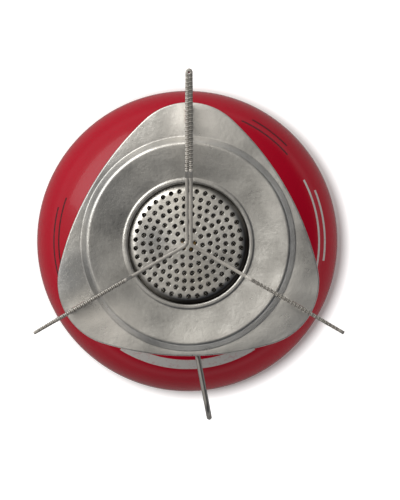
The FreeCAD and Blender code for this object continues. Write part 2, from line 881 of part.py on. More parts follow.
def burner_screws():
    # Three round-headed screws, one solid each.
    screws = []
    head_below = mixer_top + get("burner_sheet")
    for x, y in screw_places():
        shaft = doc.addObject("Part::Cylinder", "screw_shaft")
        head = doc.addObject("Part::Cylinder", "screw_head")
        for cylinder, radius, height, low in (
                (shaft, get("screw_shaft"), get("screw_reach") + get("burner_sheet"),
                 mixer_top - get("screw_reach")),
                (head, get("screw_head"), get("screw_head_height"), head_below)):
            cylinder.Radius = radius.value
            cylinder.Height = height.value
            cylinder.Placement.Base = FreeCAD.Vector(x.value, y.value, low.value)
            bind(cylinder, "Radius", radius)
            bind(cylinder, "Height", height)
            bind(cylinder, ".Placement.Base.x", x)
            bind(cylinder, ".Placement.Base.y", y)
            bind(cylinder, ".Placement.Base.z", low)
        screw = doc.addObject("Part::MultiFuse", "screw")
        screw.Shapes = [shaft, head]
        screw.Refine = True
        screws.append(screw)
    group = doc.addObject("Part::Compound", "burner_screws")
    group.Links = screws
    group.Label = "burner_screws"
    nodes.append(group)


def lobe_distance():
    # A lobe's centre lies where its circle touches the two long arcs beside it.
    back = get("plate_side_radius") - get("plate_flat")
    between = get("plate_side_radius") - get("plate_lobe_radius")
    return (root(4 * between * between - 3 * back * back) - back) / 2


def draw_rounded_triangle(sketch, inset):
    # Three long side arcs and three lobe arcs, all tangent, moved inwards by the inset.
    back = get("plate_side_radius") - get("plate_flat")
    stretch = (get("plate_side_radius") - inset) / (get("plate_side_radius") - get("plate_lobe_radius"))
    corners = []
    for lobe in (90, 210, 330):
        lobe_x = lobe_distance() * cos(lobe)
        lobe_y = lobe_distance() * sin(lobe)
        for side, arc in ((lobe - 60, "plate_lobe_radius"), (lobe + 60, "plate_side_radius")):
            side_x = -back * cos(side)
            side_y = -back * sin(side)
            x = side_x + (lobe_x - side_x) * stretch
            y = side_y + (lobe_y - side_y) * stretch
            corners.append((x, y, get(arc) - inset))
    draw(sketch, corners)


def trim_to_triangle(body, name, inset):
    sketch = start_sketch(body, name + "_sketch", "XY_Plane")
    draw_circle(sketch, 0, 0, get("plate_side_radius"))
    draw_rounded_triangle(sketch, inset)
    cut_through(body, name, sketch)


def cut_slots(body):
    # A narrow slot under each arm. The doubled arm's slot is wider by one more layer.
    narrow = get("strip_thickness") / 2 + get("slot_margin")
    wide = get("strip_thickness") + get("layer_gap") / 2 + get("slot_margin")
    for name, half, count in (("slot", narrow, 3), ("wide_slot", wide, 1)):
        sketch = start_sketch(body, name + "_sketch", "XY_Plane")
        draw(sketch, box_corners(-half, get("slot_start"), half, get("slot_end")))
        slot = cut_through(body, name, sketch)
        if count > 1:
            around(body, name + "s", slot, sketch, count)


def burner_shell():
    slope = get("shell_slope")
    bend = get("shell_bend")
    rising = (get("shell_rise") - 2 * bend * (1 - cos(slope))) / sin(slope)
    line = Line(get("neck_tube"), shell_mid, 0)
    line.reach(get("shell_floor"), shell_mid)
    line.bend(bend, slope)
    line.along(rising)
    line.bend(bend, -slope)
    line.reach(get("plate_side_radius") / 2 + get("leg_outer") / 2, shell_flange_mid)
    body = turned("burner_shell", line.outline(get("burner_sheet")))
    trim_to_triangle(body, "shell_trim", get("burner_sheet") + get("edge_gap"))
    cut_slots(body)
    holes = start_sketch(body, "screw_hole_sketch", "XY_Plane")
    for x, y in screw_places():
        draw_circle(holes, x, y, get("screw_shaft"))
    cut_through(body, "screw_holes", holes)


def plate_line():
    # From the flat flange inwards: up the step, over the crest, down the dish and over the bead.
    step = get("step_slope")
    dish = get("dish_slope")
    bead = get("bead_slope")
    fillet = get("step_fillet")
    crest = get("crest_radius")
    rising = (get("step_height") - fillet * (1 - cos(step)) - crest * (1 - cos(step))) / sin(step)
    line = Line(get("plate_side_radius") / 2 + get("leg_outer") / 2, plate_mid, 180)
    line.reach(get("step_outer"), plate_mid)
    line.bend(fillet, -step)
    line.along(rising)
    line.bend(crest, step + dish)
    bead_foot = get("collar_radius") + get("bead_radius") * (1 + sin(bead))
    line.to_x(bead_foot + get("bead_fillet") * (sin(bead) + sin(dish)))
    line.bend(get("bead_fillet"), -(bead + dish))
    line.bend(get("bead_radius"), 90 + bead)
    return line


def burner_plate():
    line = plate_line()
    line.along(get("collar_depth"))
    body = turned("burner_plate", line.outline(get("burner_sheet")))
    trim_to_triangle(body, "plate_trim", 0)
    edge_sketch = start_sketch(body, "edge_sketch", "XY_Plane", rise=plate_top)
    draw_rounded_triangle(edge_sketch, 0)
    draw_rounded_triangle(edge_sketch, get("burner_sheet"))
    edge = pad(body, "rolled_edge", edge_sketch, get("edge_depth"), reverse=True)
    doc.recompute()
    rim = []
    for index, curve in enumerate(edge.Shape.Edges, start=1):
        box = curve.BoundBox
        level = abs(box.ZMin - plate_top.value) < 1e-6 and abs(box.ZMax - plate_top.value) < 1e-6
        middle = curve.valueAt((curve.FirstParameter + curve.LastParameter) / 2)
        if level and math.hypot(middle.x, middle.y) > get("plate_flat").value - 1e-3:
            rim.append(f"Edge{index}")
    roll = body.newObject("PartDesign::Fillet", "edge_roll")
    roll.Base = (edge, rim)
    roll.Radius = get("edge_roll").value
    bind(roll, "Radius", get("edge_roll"))
    doc.recompute()
    cut_slots(body)


def cut_rings(body, rings, radius):
    # Round holes in rings about the axis: one hole of each ring is drawn and carried round.
    for index, (count, turn) in enumerate(rings):
        reach = get("first_ring") + get("ring_pitch") * index
        sketch = start_sketch(body, f"hole_sketch_{index}", "XY_Plane")
        draw_circle(sketch, reach * cos(turn), reach * sin(turn), radius)
        hole = cut_through(body, f"hole_{index}", sketch)
        pattern = around(body, f"holes_{index}", hole, sketch, count)
        hole.Refine = False
        pattern.Refine = False


bead = plate_line()
bead_top = bead.y + get("bead_radius") + get("burner_sheet") / 2
disc_edge_mid = bead_top - get("disc_below_bead") - get("disc_sheet") / 2
disc_outer = get("collar_radius") - get("burner_sheet") / 2 - get("disc_gap")


def disc_line():
    # From the axis outwards: over the flat dome, round the shoulder, down the fall and into the skirt.
    slope = get("disc_slope")
    shoulder = get("disc_shoulder")
    roll = get("disc_roll")
    corner = get("disc_corner")
    skirt_mid = disc_outer - get("disc_sheet") / 2
    shoulder_reach = roll * (sin(shoulder) - sin(slope)) + get("disc_fall") * cos(shoulder)
    dome_edge = skirt_mid - corner * (1 - sin(shoulder)) - shoulder_reach
    dome_curve = dome_edge / sin(slope)
    line = Line(0, disc_edge_mid + dome_curve * (1 - cos(slope)), 0)
    line.bend(dome_curve, -slope)
    line.bend(roll, slope - shoulder)
    line.along(get("disc_fall"))
    line.bend(corner, shoulder - 90)
    return line


def burner_disc():
    line = disc_line()
    line.along(get("disc_skirt"))
    body = turned("burner_disc", line.outline(get("disc_sheet")))
    cut_rings(body, disc_rings, get("hole_radius"))


def diffuser():
    level = disc_line().y - get("diffuser_drop")
    inside = disc_outer - get("disc_sheet")
    body = turned("diffuser", box_corners(0, level, inside, level + get("diffuser_sheet")))
    cut_rings(body, diffuser_rings, get("diffuser_hole"))


# ---- pot support ---------------------------------------------------------------------------

def draw_teeth(sketch, outermost):
    # Flat-bottomed notches along the top edge, set out inwards from the outermost one.
    level = support_top - get("tooth_depth")
    ceiling = support_top + get("tooth_depth") / 5
    inset = (get("tooth_notch") - get("notch_floor")) / 2
    flank = inset * 6 / 5
    count = int((outermost - get("slope_end")).value / get("tooth_pitch").value)
    for index in range(count):
        near = outermost - get("tooth_pitch") * index - get("tooth_notch") + inset
        far = near + get("notch_floor")
        draw(sketch, [(near, level), (far, level), (far + flank, ceiling), (near - flank, ceiling)])


def pot_support():
    # One strip: along one arm to the middle, out and back along the doubled arm, and out along the last.
    body = start_body("pot_support")
    thickness = get("strip_thickness")
    half = (thickness + get("layer_gap")) / 2
    reach = get("arm_reach")
    bend = get("strip_bend")
    straight = reach - half / cos(30) - bend * tan(30)
    fold = get("fold_reach") - half - thickness / 2
    strip = Line(reach * cos(210), reach * sin(210), 30)
    strip.along(straight)
    strip.bend(bend, 60)
    strip.reach(-half, fold)
    strip.bend(half, -180)
    strip.reach(half, (bend - half) * tan(30))
    strip.bend(bend, 60)
    strip.reach(reach * cos(330), reach * sin(330))
    tab_below = plate_top - get("tab_drop")
    plan = start_sketch(body, "strip_plan", "XY_Plane", rise=tab_below)
    draw(plan, strip.outline(thickness))
    pad(body, "strip", plan, support_top - tab_below)
    beyond = reach + 1
    behind = -get("bar_drop")
    floor = tab_below - 1
    ceiling = support_top + 1
    tip_below = support_top - get("arm_tip_height")
    side = start_sketch(body, "arm_side", "YZ_Plane")
    draw(side, [
        (behind, bar_top), (get("slope_start"), bar_top), (get("slope_end"), support_top),
        (get("slope_end"), ceiling), (behind, ceiling)])
    leg_top = plate_top + get("leg_height")
    draw(side, [
        (behind, floor), (get("tab_start"), floor), (get("tab_start"), plate_top),
        (get("leg_inner"), plate_top), (get("leg_inner"), leg_top), (get("arch_start"), bar_below),
        (behind, bar_below)])
    draw(side, [
        (get("tab_end"), floor), (beyond, floor), (beyond, tip_below), (reach, tip_below),
        (get("leg_outer"), leg_top), (get("leg_outer"), plate_top), (get("tab_end"), plate_top)])
    arm = cut_wide(body, "arm", side, get("arm_cut_width") * 2)
    around(body, "arms", arm, plan, 3)
    eye = start_sketch(body, "fold_eye_sketch", "XY_Plane")
    draw_circle(eye, 0, fold - get("fold_eye") / 2, get("fold_eye"))
    cut_through(body, "fold_eye", eye)
    last = get("fold_reach") - get("tip_plain")
    for name, end, right in (("left_teeth", last - get("tooth_stagger"), False), ("right_teeth", last, True)):
        notches = start_sketch(body, name + "_sketch", "YZ_Plane")
        draw_teeth(notches, end)
        cut_beside(body, name, notches, get("arm_cut_width"), right)
    notches = start_sketch(body, "arm_teeth_sketch", "YZ_Plane", turn=120)
    draw_teeth(notches, reach - get("tip_plain"))
    notch = cut_wide(body, "arm_teeth", notches, get("arm_cut_width") * 2)
    around(body, "both_arm_teeth", notch, plan, 2, angle=120)
    body.Placement.Base = FreeCAD.Vector(get("strip_play_x").value, get("strip_play_y").value, 0)
    bind(body, ".Placement.Base.x", get("strip_play_x"))
    bind(body, ".Placement.Base.y", get("strip_play_y"))


# ---- build, check and write ----------------------------------------------------------------

pieces = (
    canister_shell, canister_base, valve_cup, cup_gasket, valve_housing, valve_seal, valve_stem,
    valve_spring, thread_insert, canister_seal, probe_pin, gas_filter, valve_body, needle_spindle,
    spindle_seal, gland_nut, handle_wire, jet, mixer_cage, burner_screws, burner_shell, burner_plate,
    burner_disc, diffuser, pot_support)
for piece in pieces:
    piece()
doc.recompute()

for item in doc.Objects:
    if "Invalid" in item.State or "Error" in item.State:
        raise RuntimeError(f"{item.Name} failed: {item.State}")
os.makedirs("parts", exist_ok=True)
for node in nodes:
    if node.Shape.isNull() or not node.Shape.isValid():
        raise RuntimeError(f"{node.Label} has no valid shape")
for node in nodes:
    node.Shape.exportStep(f"parts/{node.Label}.step")
    box = node.Shape.BoundBox
    print(f"{node.Label}: {len(node.Shape.Solids)} solid, volume {node.Shape.Volume:.1f}, "
          f"z {box.ZMin:.2f} to {box.ZMax:.2f}, reach {max(box.XMax, box.YMax):.2f}")
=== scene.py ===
# Camping stove on its gas canister: finishes, pressed sheet pieces and studio
import math

import bmesh
import bpy
from mathutils import Matrix, Vector


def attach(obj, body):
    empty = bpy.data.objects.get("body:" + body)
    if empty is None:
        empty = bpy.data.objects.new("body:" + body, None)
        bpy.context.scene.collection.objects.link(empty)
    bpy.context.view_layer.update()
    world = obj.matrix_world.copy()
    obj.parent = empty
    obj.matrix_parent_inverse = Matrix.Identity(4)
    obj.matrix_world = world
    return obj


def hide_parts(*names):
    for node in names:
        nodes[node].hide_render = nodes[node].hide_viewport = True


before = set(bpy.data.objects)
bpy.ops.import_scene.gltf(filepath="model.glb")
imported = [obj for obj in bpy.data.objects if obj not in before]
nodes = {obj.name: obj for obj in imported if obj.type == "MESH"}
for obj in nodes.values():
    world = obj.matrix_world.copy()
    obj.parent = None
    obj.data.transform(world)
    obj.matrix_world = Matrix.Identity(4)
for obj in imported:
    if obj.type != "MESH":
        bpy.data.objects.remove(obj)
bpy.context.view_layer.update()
print("frame loaded:", len(nodes), "nodes")

mm = 0.001
toMm = 1 / mm
toDegrees = math.degrees(1)


class Wire:
    # a socket that adds its own Math nodes when it is used in a sum
    def __init__(self, tree, socket):
        self.tree = tree
        self.socket = socket

    def math(self, operation, *others):
        node = self.tree.nodes.new("ShaderNodeMath")
        node.operation = operation
        for slot, value in enumerate((self,) + others):
            if isinstance(value, Wire):
                self.tree.links.new(value.socket, node.inputs[slot])
            else:
                node.inputs[slot].default_value = value
        return Wire(self.tree, node.outputs[0])

    def __add__(self, other):
        return self.math("ADD", other)

    def __sub__(self, other):
        return self.math("SUBTRACT", other)

    def __rsub__(self, other):
        return (self * -1.0) + other

    def __mul__(self, other):
        return self.math("MULTIPLY", other)

    def __truediv__(self, other):
        return self.math("DIVIDE", other)

    def above(self, edge, soft):
        # 0 below the edge, 1 above it, with a soft step between
        return ((self - edge) / soft + 0.5).clamp()

    def between(self, low, high, soft):
        return self.above(low, soft) * (1.0 - self.above(high, soft))

    def clamp(self):
        return self.math("MAXIMUM", 0.0).math("MINIMUM", 1.0)

    def smooth(self):
        # a value from 0 to 1, eased in and out
        return self * self * (3.0 - self * 2.0)


class Graph:
    # a node tree, with one method for most kinds of node
    def __init__(self, tree):
        self.tree = tree

    def node(self, kind, **values):
        node = self.tree.nodes.new(kind)
        for key, value in values.items():
            if isinstance(value, Wire):
                self.tree.links.new(value.socket, node.inputs[key])
            else:
                node.inputs[key].default_value = value
        return {output.name: Wire(self.tree, output) for output in node.outputs}

    def blend(self, factor, first, second):
        node = self.tree.nodes.new("ShaderNodeMix")
        node.data_type = "RGBA"
        for slot, value in ((0, factor), (6, first), (7, second)):
            if isinstance(value, Wire):
                self.tree.links.new(value.socket, node.inputs[slot])
            else:
                node.inputs[slot].default_value = value if slot == 0 else (*value, 1.0)
        return Wire(self.tree, node.outputs[2])


class Finish(Graph):
    # a material with its Principled shader, on the piece's own coordinates
    def __init__(self, name, baseColor, roughness, metallic=0.0, **settings):
        self.material = bpy.data.materials.new(name)
        self.material.use_nodes = True
        super().__init__(self.material.node_tree)
        self.shader = self.tree.nodes["Principled BSDF"]
        self.shader.inputs["Base Color"].default_value = (*baseColor, 1.0)
        self.shader.inputs["Roughness"].default_value = roughness
        self.shader.inputs["Metallic"].default_value = metallic
        for key, value in settings.items():
            self.shader.inputs[key.replace("_", " ")].default_value = value
        self.place = self.node("ShaderNodeTexCoord")["Object"]

    def noise(self, scale, detail=3.0, roughness=0.55):
        return self.node("ShaderNodeTexNoise", Vector=self.place, Scale=scale, Detail=detail,
                         Roughness=roughness)["Fac"]

    def spread(self, value, low, high, lowest, highest):
        # maps low..high to lowest..highest and clamps
        return self.node("ShaderNodeMapRange", **{
            "Value": value, "From Min": low, "From Max": high,
            "To Min": lowest, "To Max": highest})["Result"]

    def feed(self, **sockets):
        for key, wire in sockets.items():
            self.tree.links.new(wire.socket, self.shader.inputs[key.replace("_", " ")])

    def bump(self, height, strength, distance):
        bump = self.node("ShaderNodeBump", Strength=strength, Distance=distance, Height=height)
        self.feed(Normal=bump["Normal"])

    def axes(self):
        parts = self.node("ShaderNodeSeparateXYZ", Vector=self.place)
        return parts["X"], parts["Y"], parts["Z"]

    def polar(self):
        # millimetres from the axis, and degrees about it from +X
        x, y = self.axes()[:2]
        radius = (x * x + y * y).math("SQRT") * toMm
        angle = y.math("ARCTAN2", x) * toDegrees
        return radius, angle

    def patch(self, x, y, reach):
        # 1 at a point of the plan, easing to 0 at the reach, all in millimetres
        across, along = self.axes()[:2]
        right, back = across - x * mm, along - y * mm
        away = (right * right + back * back).math("SQRT")
        return (1.0 - away * (1 / (reach * mm))).clamp().smooth()


class Pen:
    # draws a wire in the XZ plane in millimetres, the way a sheet is bent
    def __init__(self, bm, x, z, heading):
        self.bm = bm
        self.vertex = bm.verts.new((x * mm, 0, z * mm))
        self.heading = heading

    def to(self, x, z):
        self.vertex = bmesh.ops.extrude_vert_indiv(self.bm, verts=[self.vertex])["verts"][0]
        self.vertex.co = (x * mm, 0, z * mm)

    def toX(self, x):
        rise = math.tan(math.radians(self.heading))
        self.to(x, self.vertex.co.z / mm + (x - self.vertex.co.x / mm) * rise)

    def line(self, length):
        angle = math.radians(self.heading)
        x = self.vertex.co.x / mm + math.cos(angle) * length
        z = self.vertex.co.z / mm + math.sin(angle) * length
        self.to(x, z)

    def bend(self, radius, turn, steps):
        side = math.radians(self.heading + math.copysign(90, turn))
        centre = self.vertex.co + Vector((math.cos(side), 0, math.sin(side))) * radius * mm
        made = bmesh.ops.spin(self.bm, geom=[self.vertex], cent=centre, axis=(0, -1, 0),
                              angle=math.radians(turn), steps=steps)
        self.vertex = next(item for item in made["geom_last"] if isinstance(item, bmesh.types.BMVert))
        self.heading += turn


def spinWire(bm, steps):
    bmesh.ops.spin(bm, geom=bm.verts[:] + bm.edges[:], cent=(0, 0, 0), axis=(0, 0, 1),
                   angle=math.tau, steps=steps, use_merge=True)
    bmesh.ops.remove_doubles(bm, verts=bm.verts[:], dist=1e-6)


def finishPiece(name, bm, finish, body, standsFor):
    mesh = bpy.data.meshes.new(name)
    bm.to_mesh(mesh)
    bm.free()
    piece = bpy.data.objects.new(name, mesh)
    bpy.context.scene.collection.objects.link(piece)
    mesh.materials.append(finish.material)
    mesh.shade_smooth()
    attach(piece, body)
    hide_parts(*standsFor)
    return piece


def thicken(piece, thickness):
    wall = piece.modifiers.new("wall", "SOLIDIFY")
    wall.thickness = thickness
    wall.offset = 0
    wall.use_even_offset = True


def applyModifiers(piece):
    graph = bpy.context.evaluated_depsgraph_get()
    mesh = bpy.data.meshes.new_from_object(piece.evaluated_get(graph))
    piece.modifiers.clear()
    piece.data = mesh


softening = {"merge": 2e-6, "flatAngle": 2, "sharpAngle": 35, "shadeAngle": 38, "segments": 2}


def softenedCopy(node, finish, body, bevel, size):
    # the machined piece itself, with its sharp edges broken
    bm = bmesh.new()
    bm.from_mesh(nodes[node].data)
    bmesh.ops.remove_doubles(bm, verts=bm.verts[:], dist=size["merge"])
    limit = math.radians(size["flatAngle"])
    bmesh.ops.dissolve_limit(bm, angle_limit=limit, verts=bm.verts[:], edges=bm.edges[:])
    sharp = [edge for edge in bm.edges if len(edge.link_faces) == 2
             and edge.calc_face_angle(0) > math.radians(size["sharpAngle"])]
    bmesh.ops.bevel(bm, geom=sharp, offset=bevel * mm, offset_type="OFFSET", affect="EDGES",
                    segments=size["segments"], profile=0.5, material=-1, clamp_overlap=True)
    piece = finishPiece(node + "Finished", bm, finish, body, (node,))
    piece.data.set_sharp_from_angle(angle=math.radians(size["shadeAngle"]))
    return piece


enamel = {
    "red": (0.42, 0.001, 0.016), "roughness": 0.25, "coat": 0.15, "coatRoughness": 0.07, "gloss": 0.2,
    "white": (0.52, 0.50, 0.48), "dark": (0.055, 0.004, 0.008),
    "whiteBars": ((41.6, 45.0, 238, 302), (46.2, 46.9, 348, 388), (48.4, 49.1, 352, 382)),
    "darkBars": ((45.2, 45.7, 160, 192), (47.0, 47.5, 165, 197),
                 (46.6, 47.1, 41, 66), (48.7, 49.2, 44, 62)),
    "barEdge": 0.12, "barEnd": 0.2, "rubScale": 900, "depthScale": 38, "shade": 0.9,
    "peelScale": 420, "sinkScale": 60, "peel": 0.25, "bump": 0.1, "bumpDepth": 0.0003,
}


def bareEnamel(name, size):
    # the enamel alone, smooth and without bars
    return Finish(name, size["red"], size["roughness"], Coat_Weight=size["coat"],
                  Coat_Roughness=size["coatRoughness"], Specular_IOR_Level=size["gloss"])


def enamelFinish(size):
    # glossy red enamel over the shell, with plain printed bars
    finish = bareEnamel("redEnamel", size)
    radius, angle = finish.polar()
    turn = (angle + 360.0).math("FLOORED_MODULO", 360.0)
    ink = []
    for bars in (size["whiteBars"], size["darkBars"]):
        mask = None
        for low, high, first, last in bars:
            across = radius.between(low, high, size["barEdge"])
            if last > 360:
                past = 1.0 - turn.above(last - 360, size["barEnd"])
                along = turn.above(first, size["barEnd"]).math("MAXIMUM", past)
            else:
                along = turn.between(first, last, size["barEnd"])
            bar = across * along
            mask = bar if mask is None else mask.math("MAXIMUM", bar)
        ink.append(mask)
    thin = finish.noise(size["rubScale"], detail=3.0, roughness=0.6)
    rub = finish.spread(thin, 0.36, 0.46, 0.75, 1.0)
    depth = finish.spread(finish.noise(size["depthScale"], detail=3.0), 0.3, 0.7, 0.0, 1.0)
    deep = tuple(channel * size["shade"] for channel in size["red"])
    red = finish.blend(depth, deep, size["red"])
    printed = finish.blend(ink[0] * rub, red, size["white"])
    finish.feed(Base_Color=finish.blend(ink[1] * rub, printed, size["dark"]))
    orangePeel = finish.noise(size["peelScale"], detail=2.0)
    sink = finish.noise(size["sinkScale"], detail=2.0)
    finish.bump(orangePeel * size["peel"] + sink, size["bump"], size["bumpDepth"])
    return finish


sheet = {
    "cloudScale": 85, "wideScale": 26, "fineScale": 900, "speckScale": 2900, "waveScale": 70,
    "dull": 0.3, "bright": 0.2, "speck": 1.35, "speckShare": 0.85, "smoother": 0.8, "rougher": 1.25,
    "shadeSlant": 707.0, "shadeFrom": 3.0, "shadeTo": 13.0, "shadeLeast": 0.3, "bump": 0.25, "bumpDepth": 0.0002,
}


def steelFinish(name, tone, roughness, grain=1.0, blotch=0.5, metallic=1.0, wave=0.0,
                paintedPatches=(), shadedRing=None):
    # cloudy tone, fine pitting and bright rubbed specks, for every metal and, without metallic,
    # for rubber and plastic too; where asked also a slight buckle, patches of painted highlight and
    # painted shade where reflections fall, and a ring of painted shade, heavier towards the lower right
    finish = Finish(name, tone, roughness, metallic)
    cloud = finish.noise(sheet["cloudScale"], detail=4.0, roughness=0.62)
    wide = finish.noise(sheet["wideScale"], detail=2.0, roughness=0.5)
    fine = finish.noise(sheet["fineScale"], detail=3.0, roughness=0.6)
    speck = finish.noise(sheet["speckScale"], detail=2.0, roughness=0.7)
    low = tuple(channel * (1 - sheet["dull"] * blotch) for channel in tone)
    high = tuple(min(channel * (1 + sheet["bright"] * blotch), 1) for channel in tone)
    mixed = cloud * 0.5 + wide * 0.3 + fine * 0.2
    color = finish.blend(finish.spread(mixed, 0.38, 0.62, 0.0, 1.0), low, high)
    # painted highlights and painted shade, standing in for reflections on the pressed sheet
    for x, y, reach, strength, shade in paintedPatches:
        ragged = finish.spread(cloud, 0.3, 0.6, 0.6, 1.0)
        share = (finish.patch(x, y, reach) * ragged * strength).clamp()
        color = finish.blend(share, color, shade)
    bright = tuple(min(channel * sheet["speck"], 1) for channel in tone)
    rubbed = finish.spread(speck, 0.60, 0.70, 0.0, sheet["speckShare"] * blotch)
    color = finish.blend(rubbed, color, bright)
    # a ring of painted shade inside the collar and on the disc's rolled edge, heavier towards the lower
    # right, away from the light
    if shadedRing:
        radius = finish.polar()[0]
        x, y = finish.axes()[:2]
        lowerRightShade = finish.spread((x - y) * sheet["shadeSlant"], sheet["shadeFrom"], sheet["shadeTo"],
                            sheet["shadeLeast"], 1.0)
        color = finish.blend(radius.between(*shadedRing) * lowerRightShade, color, ringShadeTone)
    finish.feed(Base_Color=color)
    finish.feed(Roughness=finish.spread(cloud * 0.6 + fine * 0.4, 0.3, 0.7,
                                        roughness * sheet["smoother"], roughness * sheet["rougher"]))
    relief = fine * 0.6 + speck * 0.4
    if wave:
        relief = relief + finish.noise(sheet["waveScale"], detail=1.0) * wave
    finish.bump(relief, sheet["bump"] * grain, sheet["bumpDepth"])
    return finish


gauze = {"roughness": 0.4, "topsScale": 700, "topsNoise": 0.8, "bump": 0.6, "bumpDepth": 0.0002}


def gauzeFinish(name, dark, bright, pitch):
    # woven wire, burnt dark, with bright tops where the wires cross, partly rubbed metal and partly
    # painted glints
    finish = Finish(name, dark, gauze["roughness"], metallic=1.0)
    x, y = finish.axes()[:2]
    across = (x * (math.tau / (pitch * mm))).math("SINE")
    along = (y * (math.tau / (pitch * mm))).math("SINE")
    weave = across * along
    # painted glints on the tops of the weave, broken up by noise
    brightTops = weave + finish.noise(gauze["topsScale"], detail=2.0) * gauze["topsNoise"]
    finish.feed(Base_Color=finish.blend(finish.spread(brightTops, 0.7, 1.0, 0.0, 1.0), dark, bright))
    finish.bump(weave, gauze["bump"], gauze["bumpDepth"])
    return finish


paintedShadeTone = (0.20, 0.205, 0.215)
# tone of the painted shade in a ring on the plate and the disc
ringShadeTone = (0.10, 0.095, 0.09)
bronzeTint = (0.50, 0.455, 0.38)
# each patch is x, y and reach in millimetres, its strength and its tone; the pale and grey patches
# are painted highlights and painted shade where reflections fall on the sheet, the bronze one is tint
platePaintedLight = (
    (4, 40, 19, 1.2, (0.94, 0.91, 0.86)), (-38, -10, 16, 0.8, paintedShadeTone), (-30, 18, 20, 0.6, paintedShadeTone),
    (-27, -29, 17, 1.4, (0.97, 0.93, 0.87)), (2, -36, 18, 0.9, (0.80, 0.78, 0.73)),
    (38, -24, 28, 1.2, (0.84, 0.82, 0.78)), (34, 20, 18, 1.0, (0.76, 0.74, 0.70)),
)
discPaintedLightAndTint = (
    (-12, 1, 9, 0.8, paintedShadeTone), (-1, 12, 11, 0.7, (0.90, 0.86, 0.78)), (2, -11, 10, 0.5, bronzeTint),
)
plateSteel = steelFinish("plateSteel", (0.51, 0.498, 0.472), 0.31, grain=1.8, blotch=0.9, wave=9.0,
                         shadedRing=(0.0, 19.6, 0.15), paintedPatches=platePaintedLight)
discSteel = steelFinish("discSteel", (0.66, 0.64, 0.60), 0.31, grain=1.6, blotch=0.9, wave=6.0,
                        shadedRing=(17.9, 30.0, 0.7), paintedPatches=discPaintedLightAndTint)
supportSteel = steelFinish("supportSteel", (0.46, 0.44, 0.41), 0.36)
shellSteel = steelFinish("shellSteel", (0.50, 0.49, 0.47), 0.4)
wireSteel = steelFinish("wireSteel", (0.40, 0.385, 0.36), 0.34, wave=4.0)
brassFinish = steelFinish("machinedBrass", (0.52, 0.36, 0.15), 0.28, grain=0.5, blotch=0.35)
bronzeFinish = steelFinish("sinteredBronze", (0.30, 0.20, 0.09), 0.6, grain=3.0, blotch=0.6)
aluminiumFinish = steelFinish("blastedAluminium", (0.62, 0.63, 0.65), 0.42, grain=1.2, blotch=0.2)
cupSteel = steelFinish("tinnedCup", (0.58, 0.58, 0.56), 0.3)
barSteel = steelFinish("turnedSteel", (0.54, 0.54, 0.53), 0.3, grain=0.5, blotch=0.3)
meshSteel = gauzeFinish("burntMesh", (0.10, 0.092, 0.085), (0.92, 0.88, 0.80), pitch=0.9)
rubberFinish = steelFinish("blackRubber", (0.02, 0.02, 0.02), 0.65, grain=1.5, metallic=0.0)
plasticFinish = steelFinish("whitePlastic", (0.75, 0.75, 0.72), 0.5, grain=0.6, blotch=0.1,
                            metallic=0.0)
redEnamel = enamelFinish(enamel)
baseEnamel = bareEnamel("baseEnamel", enamel)
print("finishes made")


canister = {
    "middleRadius": 54.25, "wall": 0.5, "foot": 0.45, "footRadius": 52.4, "footRise": 3.4,
    "neckInRadius": 3.954, "neckInTurn": 40, "sideTop": 56.0,
    "shoulderRadius": 22.0, "shoulderTurn": 60, "domeRadius": 55.2,
    "neckFillet": 2.0, "neckRise": 2.4, "curlRadius": 1.2, "curlTurn": 200,
    "flareRise": 5.1, "sideSteps": 8, "around": 160,
}


def makeCanister(size):
    bm = bmesh.new()
    pen = Pen(bm, size["footRadius"], size["foot"], 90)
    pen.to(size["footRadius"], size["footRise"])
    pen.bend(size["neckInRadius"], -size["neckInTurn"], steps=6)
    pen.bend(size["neckInRadius"], size["neckInTurn"], steps=6)
    rise = size["footRise"] + size["flareRise"]
    for step in range(1, size["sideSteps"] + 1):
        pen.to(size["middleRadius"], rise + (size["sideTop"] - rise) * step / size["sideSteps"])
    pen.bend(size["shoulderRadius"], size["shoulderTurn"], steps=16)
    pen.bend(size["domeRadius"], 90 - size["shoulderTurn"], steps=16)
    pen.bend(size["neckFillet"], -90, steps=6)
    pen.line(size["neckRise"])
    pen.bend(size["curlRadius"], -size["curlTurn"], steps=10)
    spinWire(bm, size["around"])
    bmesh.ops.recalc_face_normals(bm, faces=bm.faces[:])
    piece = finishPiece("canisterSkin", bm, redEnamel, "canister", ("canister_shell",))
    thicken(piece, size["wall"] * mm)
    applyModifiers(piece)


makeCanister(canister)
print("canister made")


plate = {
    "middle": 128.198, "sheet": 0.6, "wireStart": 34.9, "stepOuter": 34.7, "stepFillet": 0.8,
    "stepSlope": 52, "stepRun": 2.1971, "crestRadius": 1.2, "dishSlope": 7, "dishSteps": 8,
    "beadFillet": 1.2, "beadSlope": 26, "beadRadius": 0.75, "lipCorner": 0.32,
    "collarRadius": 19.7, "collarDepth": 2.7, "flat": 36.2, "sideRadius": 94.3, "lobeRadius": 20.6,
    "edgeRoll": 0.45, "edgeDepth": 1.9, "edgeSteps": 5, "slotStart": 38.1, "slotEnd": 43.0,
    "tab": (38.5, 42.6), "tabPlay": 0.04, "endPlay": 0.1, "layerPlay": 0.1, "strip": 1.05,
    "playX": 0.08, "playY": 0.25, "troughMargin": 0.35, "troughDepth": 0.4, "cutThrough": 2,
    "shadeAngle": 40, "around": 240,
}


def lobeDistance(size):
    back = size["sideRadius"] - size["flat"]
    between = size["sideRadius"] - size["lobeRadius"]
    return (math.sqrt(4 * between ** 2 - 3 * back ** 2) - back) / 2


